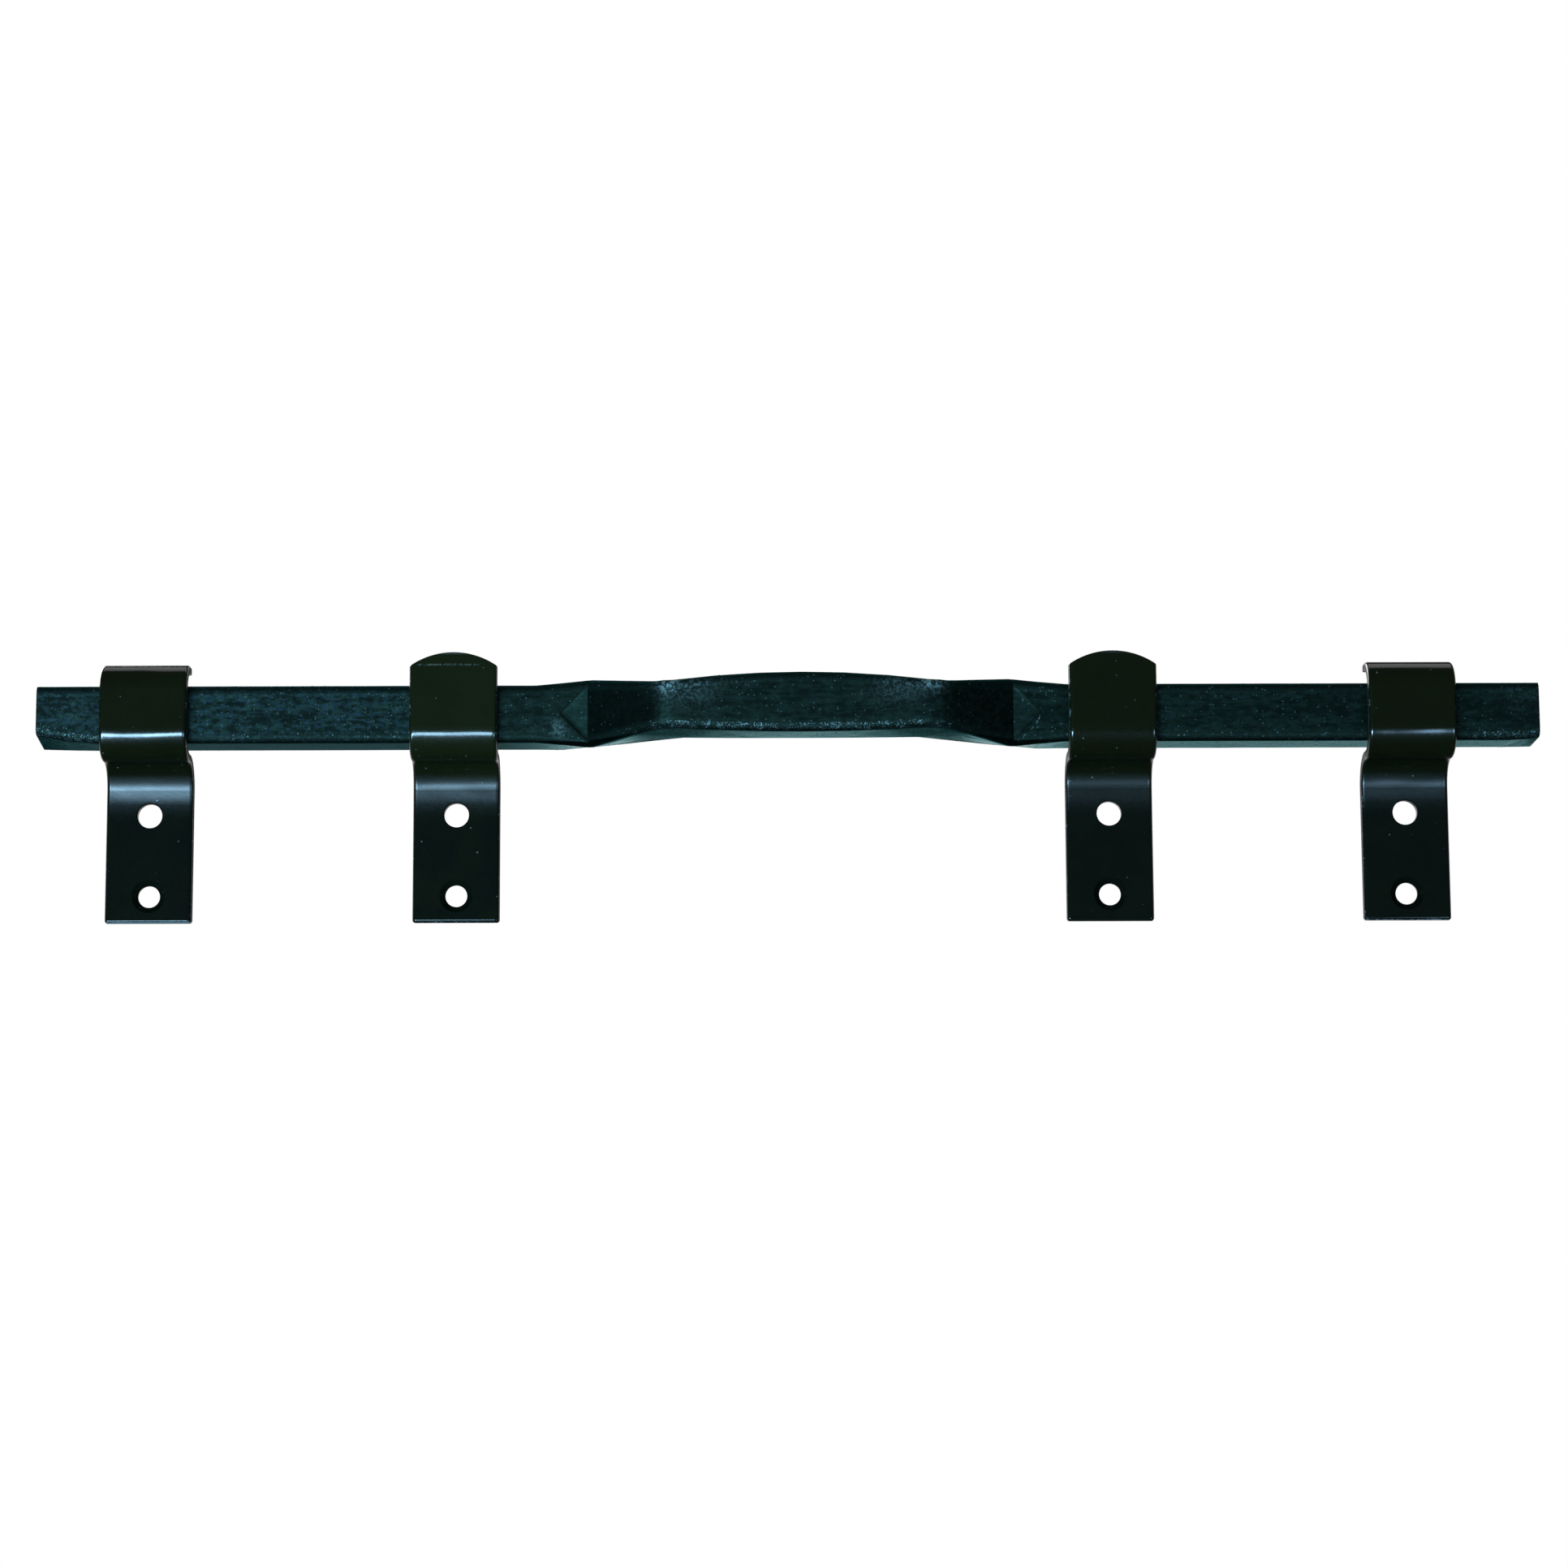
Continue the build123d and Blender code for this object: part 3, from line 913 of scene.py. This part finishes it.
def ring_faces(first, second, count):
    following = [(i + 1) % count for i in range(count)]
    return [(first + i, first + after, second + after, second + i) for i, after in enumerate(following)]


def new_object(name, data):
    made = bpy.data.objects.new(name, data)
    bpy.context.scene.collection.objects.link(made)
    return made


def skin_mesh(outline):
    """The tube's outer and inner walls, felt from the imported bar, and the outer wall's number of points."""
    tree = BVHTree.FromObject(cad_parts[BAR], bpy.context.evaluated_depsgraph_get())
    lowest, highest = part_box(BAR)
    count = len(outline)
    sections = bar_sections()
    outer = [felt_ring(tree, centre, heading, outline, False) for centre, heading in sections]
    kept = [i for i in range(len(sections)) if i % INNER_SKIP == 0 or i == len(sections) - 1]
    inner = [felt_ring(tree, *sections[i], outline, True) for i in kept]
    for rings in (outer, inner):
        for ring, end_x in ((rings[0], lowest.x), (rings[-1], highest.x)):
            for point in ring:
                point.x = end_x
    outer_points = len(outer) * count
    faces = []
    for i in range(len(outer) - 1):
        faces += ring_faces(i * count, (i + 1) * count, count)
    for i in range(len(inner) - 1):
        faces += ring_faces(outer_points + i * count, outer_points + (i + 1) * count, count)
    faces += ring_faces(0, outer_points, count)
    faces += ring_faces(outer_points - count, outer_points + (len(inner) - 1) * count, count)
    mesh = bpy.data.meshes.new("bar_skin")
    mesh.from_pydata([point for ring in outer + inner for point in ring], [], faces)
    return mesh, outer_points


def painted_values(vertices, outline, outer_points):
    """What the bar's material and its grains read at each point: wear, polish with painted sheen, outside,
    flats and dents.
    """
    lowest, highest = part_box(BAR)
    count = len(vertices)
    painted = {name: [0.0] * count for name in ("rubbed", "polish_and_sheen", "outside", "middle")}
    painted["dented"] = [-1.0] * count
    for index in range(outer_points):
        place = vertices[index].co
        out, _, near_corner = outline[index % len(outline)]
        on_front = out > TUBE_SIZE / 2 - CORNER_RADIUS
        painted["rubbed"][index] = rubbed_at(place, near_corner, on_front, lowest, highest)
        if on_front:
            painted["polish_and_sheen"][index] = patches_at(POLISH_AND_SHEEN_PATCHES, place.x, place.z - TUBE_FOOT)
            painted["dented"][index] = dent_at(place)
        painted["outside"][index] = 1.0
        painted["middle"][index] = 1.0 - near_corner
    return painted


def depth_at(place, dented, waviness):
    """How deep the waves and the dents press the tube's wall in at a place."""
    long_wave = LONG_WAVE_SHARE * noise.noise(place / LONG_WAVE)
    short_wave = SHORT_WAVE_SHARE * noise.noise(place / SHORT_WAVE)
    depth = waviness * (MEAN_WAVE + long_wave + short_wave)
    if dented > 0:
        from_crease = (abs(place.x - GRIP_MIDDLE) - CREASE_SPAN / 2) / DENT_REACH
        dent_depth = LEFT_DENT_DEPTH if place.x < GRIP_MIDDLE else RIGHT_DENT_DEPTH
        depth += dent_depth * min(1.0, dented / DENT_RIM) * (1 - DENT_RISE * from_crease)
    return depth


def bar_skin(finish):
    """The skin of the bar: both walls of the tube, divided finely, with their slight waves and dents."""
    outline = tube_outline()
    mesh, outer_points = skin_mesh(outline)
    work = bmesh.new()
    work.from_mesh(mesh)
    bmesh.ops.recalc_face_normals(work, faces=work.faces)
    work.normal_update()
    work.verts.ensure_lookup_table()
    for face in work.faces:
        face.smooth = True
    painted = painted_values(work.verts, outline, outer_points)
    for index in range(outer_points):
        vertex = work.verts[index]
        vertex.co -= vertex.normal * depth_at(vertex.co, painted["dented"][index], finish.waviness)
    work.to_mesh(mesh)
    work.free()
    for name, values in painted.items():
        mesh.attributes.new(name, "FLOAT", "POINT").data.foreach_set("value", values)
    return new_object("bar_skin", mesh)


def grain_tree():
    """Scatters low grains over the faces that the attribute outside marks."""
    tree, given, made = new_group(
        "scale_grains",
        "GeometryNodeTree",
        (
            ("Geometry", "Geometry", None),
            ("Grains per Square Metre", "Float", 40000.0),
            ("Smallest", "Float", GRAIN_REACH[0]),
            ("Largest", "Float", GRAIN_REACH[1]),
            ("Seed", "Int", GRAIN_SEED),
            ("Material", "Material", None),
        ),
        (("Geometry", "Geometry"),),
    )
    marked = fed_node(tree, "GeometryNodeInputNamedAttribute", Name="outside")
    scatter = fed_node(
        tree,
        "GeometryNodeDistributePointsOnFaces",
        Mesh=given["Geometry"],
        Selection=marked.outputs["Attribute"],
        Density=given["Grains per Square Metre"],
        Seed=given["Seed"],
    )
    ball = fed_node(tree, "GeometryNodeMeshIcoSphere", Radius=1.0, Subdivisions=1)
    flattened = fed_node(tree, "GeometryNodeTransform", Geometry=ball.outputs["Mesh"], Scale=GRAIN_SHAPE)
    size = fed_node(tree, "FunctionNodeRandomValue", Seed=given["Seed"])
    size.data_type = "FLOAT"
    low, high = [s for s in size.inputs if s.type == "VALUE" and s.name in ("Min", "Max")]
    tree.links.new(given["Smallest"], low)
    tree.links.new(given["Largest"], high)
    laid = fed_node(
        tree,
        "GeometryNodeInstanceOnPoints",
        Points=scatter.outputs["Points"],
        Instance=flattened.outputs["Geometry"],
        Rotation=scatter.outputs["Rotation"],
        Scale=[s for s in size.outputs if s.type == "VALUE"][0],
    )
    plain = fed_node(tree, "GeometryNodeRealizeInstances", Geometry=laid.outputs["Instances"])
    smooth = fed_node(tree, "GeometryNodeSetShadeSmooth", Geometry=plain.outputs["Geometry"])
    coated = fed_node(
        tree, "GeometryNodeSetMaterial", Geometry=smooth.outputs["Geometry"], Material=given["Material"]
    )
    tree.links.new(coated.outputs["Geometry"], made["Geometry"])
    return tree


def scattered(name, mesh, tree, values):
    """The grains that the tree scatters over a mesh, as a plain mesh of their own."""
    carrier = new_object(name + "_carrier", mesh)
    modifier = carrier.modifiers.new("grains", "NODES")
    modifier.node_group = tree
    for item in tree.interface.items_tree:
        if item.in_out == "INPUT" and item.name in values:
            modifier[item.identifier] = values[item.name]
    bpy.context.view_layer.update()
    evaluated = carrier.evaluated_get(bpy.context.evaluated_depsgraph_get())
    plain = bpy.data.meshes.new_from_object(evaluated)
    carrier.modifiers.clear()
    bpy.data.objects.remove(carrier)
    plain.name = name
    return new_object(name, plain)


def set_material(obj, material):
    obj.data.materials.clear()
    obj.data.materials.append(material)


class SECURITYBAR_OT_bar(bpy.types.Operator):
    """Finish the bar: a blue-black coat over mill scale, rubbed where hands and shutters touch it"""

    bl_idname = "securitybar.bar"
    bl_label = "Finish the bar"

    def execute(self, context):
        finish = context.scene.security_bar.bar
        skin = bar_skin(finish)
        set_material(skin, bar_material(finish))
        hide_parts(BAR)
        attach(skin, "bar")
        return {"FINISHED"}


class SECURITYBAR_OT_grains(bpy.types.Operator):
    """Scatter the grains of mill scale that stand up under the bar's coat"""

    bl_idname = "securitybar.grains"
    bl_label = "Scatter the grains"

    def execute(self, context):
        skin = bpy.data.objects["bar_skin"]
        per_square_metre = context.scene.security_bar.bar.grains * 1e4
        values = {"Grains per Square Metre": per_square_metre, "Material": skin.data.materials[0]}
        grains = scattered("bar_grains", skin.data.copy(), grain_tree(), values)
        if not grains.data.polygons:
            raise RuntimeError("no grain was scattered over the bar")
        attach(grains, "bar")
        return {"FINISHED"}


class SECURITYBAR_OT_straps(bpy.types.Operator):
    """Finish the four straps: a smooth black coat, chipped along the edges"""

    bl_idname = "securitybar.straps"
    bl_label = "Finish the straps"

    def execute(self, context):
        for name, look in zip(STRAPS, STRAP_LOOKS):
            material = strap_material(name, look, context.scene.security_bar.straps)
            set_material(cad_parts[name], material)
        return {"FINISHED"}


# The stage


def mirrored_ray(tree, path):
    """1 for a ray that comes by a reflection or through glass, and 0 otherwise."""
    return larger(tree, path.outputs["Is Glossy Ray"], path.outputs["Is Transmission Ray"])


def pale_material(name, tone, to_camera, in_reflections):
    """A pale matt sheet. To the camera it glows by the share to_camera. In reflections it only glows, at
    the first level of in_reflections in front and at the second well behind the bar."""
    material, tree, shader = new_material(name)
    shader["Base Color"].default_value = (tone, tone, tone, 1)
    shader["Roughness"].default_value = PALE_ROUGHNESS
    path = tree.nodes.new("ShaderNodeLightPath")
    from_camera = path.outputs["Is Camera Ray"]
    mirrored = mirrored_ray(tree, path)
    _, behind, _ = coordinates(tree, tree.nodes.new("ShaderNodeNewGeometry").outputs["Position"])
    shown = ramp(tree, behind, *FLOOR_BRIGHTENS, *in_reflections)
    level = math_node(tree, "MULTIPLY_ADD", mirrored, shown, from_camera)
    glow = fed_node(tree, "ShaderNodeEmission", Strength=level)
    share = larger(tree, times(tree, from_camera, to_camera), mirrored)
    mixed = fed_node(tree, "ShaderNodeMixShader", Fac=share)
    tree.links.new(tree.nodes["Principled BSDF"].outputs[0], mixed.inputs[1])
    tree.links.new(glow.outputs[0], mixed.inputs[2])
    tree.links.new(mixed.outputs[0], tree.nodes["Material Output"].inputs["Surface"])
    return material


def pale_sheet(name, corners, material):
    mesh = bpy.data.meshes.new(name)
    mesh.from_pydata(corners, [], [(0, 1, 2, 3)])
    mesh.materials.append(material)
    sheet = new_object(name, mesh)
    sheet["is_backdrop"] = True


def soft_lamp(name, place, width, height, power, colour, spread):
    data = bpy.data.lights.new(name, "AREA")
    data.spread = radians(spread)
    data.shape = "RECTANGLE"
    data.size = width
    data.size_y = height
    data.energy = power
    data.color = colour
    lamp = new_object(name, data)
    lamp.location = place
    lamp.rotation_euler = (Vector(LAMPS_AIM) - Vector(place)).to_track_quat("-Z", "Y").to_euler()


class SECURITYBAR_OT_stage(bpy.types.Operator):
    """Set the pale floor and backdrop, the soft lamps, the room's light and the camera"""

    bl_idname = "securitybar.stage"
    bl_label = "Set the stage"

    def execute(self, context):
        scene = context.scene
        stage = scene.security_bar.stage
        self.sheets(-stage.floor_depth)
        self.room(scene, stage)
        for lamp in LAMPS:
            soft_lamp(*lamp)
        self.camera(scene, stage)
        scene.view_settings.view_transform = "Standard"
        return {"FINISHED"}

    def sheets(self, low):
        """A wide floor, and a backdrop that stands on it."""
        reach = FLOOR_REACH
        floor = [(-reach, -reach, low), (reach, -reach, low), (reach, reach, low), (-reach, reach, low)]
        matt = pale_material("pale_floor", FLOOR_TONE, FLOOR_TO_CAMERA, FLOOR_IN_REFLECTIONS)
        pale_sheet("floor", floor, matt)
        side = BACKDROP_WIDTH / 2
        top = low + BACKDROP_HEIGHT
        far = BACKDROP_PLACE
        backdrop = [(-side, far, low), (side, far, low), (side, far, top), (-side, far, top)]
        matt = pale_material("pale_backdrop", BACKDROP_TONE, BACKDROP_TO_CAMERA, BACKDROP_IN_REFLECTIONS)
        pale_sheet("backdrop", backdrop, matt)

    def room(self, scene, stage):
        """White to the camera, dim in the coats' reflections and an even light on what is matt."""
        world = bpy.data.worlds.new("room")
        scene.world = world
        world.use_nodes = True
        tree = world.node_tree
        path = tree.nodes.new("ShaderNodeLightPath")
        fill = [stage.fill] * 3
        shown = [stage.room * tint for tint in ROOM_TINT]
        colour = mix_colour(tree, mirrored_ray(tree, path), fill, shown)
        colour = mix_colour(tree, path.outputs["Is Camera Ray"], colour, (1, 1, 1))
        tree.links.new(colour, tree.nodes["Background"].inputs["Color"])

    def camera(self, scene, stage):
        data = bpy.data.cameras.new("camera")
        camera = new_object("camera", data)
        scene.camera = camera
        lowest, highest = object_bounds()
        middle = (lowest.x + highest.x) / 2
        target = Vector((middle - stage.off_middle, -TUBE_SIZE, (lowest.z + highest.z) / 2))
        data.lens = data.sensor_width * stage.distance / stage.view_width
        data.shift_x = (stage.off_middle - FRAME_RIGHT) / stage.view_width
        sight = Vector((0, cos(stage.look_up), sin(stage.look_up)))
        camera.location = target - sight * stage.distance
        camera.rotation_mode = "QUATERNION"
        camera.rotation_quaternion = sight.to_track_quat("-Z", "Y") @ Quaternion((0, 0, 1), stage.roll)
        data.clip_start = 0.01
        data.clip_end = 50


class SECURITYBAR_PT_panel(bpy.types.Panel):
    """The pieces of the security bar and their settings"""

    bl_idname = "SECURITYBAR_PT_panel"
    bl_label = "Security bar"
    bl_space_type = "VIEW_3D"
    bl_region_type = "UI"
    bl_category = "Security bar"

    def draw(self, context):
        settings = context.scene.security_bar
        for title, group, operators in (
            ("Bar", settings.bar, (SECURITYBAR_OT_bar, SECURITYBAR_OT_grains)),
            ("Straps", settings.straps, (SECURITYBAR_OT_straps,)),
            ("Stage", settings.stage, (SECURITYBAR_OT_stage,)),
        ):
            box = self.layout.box()
            box.label(text=title)
            for name in group.__annotations__:
                box.prop(group, name)
            for operator in operators:
                box.operator(operator.bl_idname)


CLASSES = (
    BarFinish,
    StrapFinish,
    StageSettings,
    SecurityBarSettings,
    SECURITYBAR_OT_bar,
    SECURITYBAR_OT_grains,
    SECURITYBAR_OT_straps,
    SECURITYBAR_OT_stage,
    SECURITYBAR_PT_panel,
)


def register():
    for cls in CLASSES:
        bpy.utils.register_class(cls)
    bpy.types.Scene.security_bar = PointerProperty(type=SecurityBarSettings)


def unregister():
    del bpy.types.Scene.security_bar
    for cls in reversed(CLASSES):
        bpy.utils.unregister_class(cls)


def main():
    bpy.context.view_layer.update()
    register()
    bpy.ops.securitybar.bar()
    bpy.ops.securitybar.grains()
    bpy.ops.securitybar.straps()
    bpy.ops.securitybar.stage()


if __name__ == "__main__":
    main()
